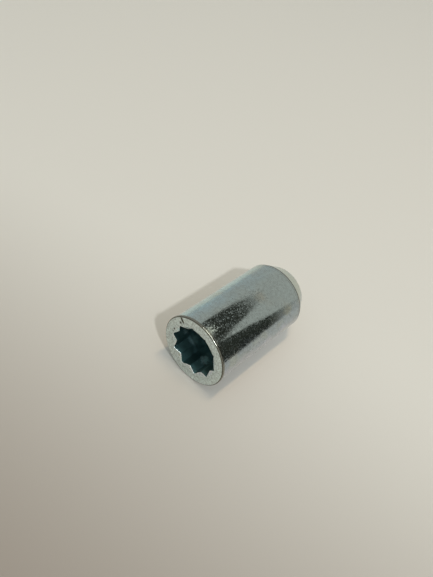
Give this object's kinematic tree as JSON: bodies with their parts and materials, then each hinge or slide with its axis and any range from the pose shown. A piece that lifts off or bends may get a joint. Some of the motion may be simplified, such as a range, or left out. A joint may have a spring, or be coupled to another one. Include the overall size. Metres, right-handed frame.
{
  "type": "lug nut",
  "caption": "Open-ended cylindrical wheel lug nut with a star-shaped internal drive socket, a thin lip at the drive face, a conical seat and a threaded bore for a wheel stud.",
  "frame": {"origin": "centre of the seat end's flat ring, which the nut stands on", "axes": "+Z along the nut's axis from the seat end to the drive face, +X through one point of the star socket"},
  "size_m": [0.021, 0.021, 0.0385],
  "materials": {
    "zinc_steel": "bright zinc plate on turned steel, satin with fine speckle"
  },
  "bodies": {
    "root": {"lug_nut": "zinc_steel"}
  },
  "joints": []
}
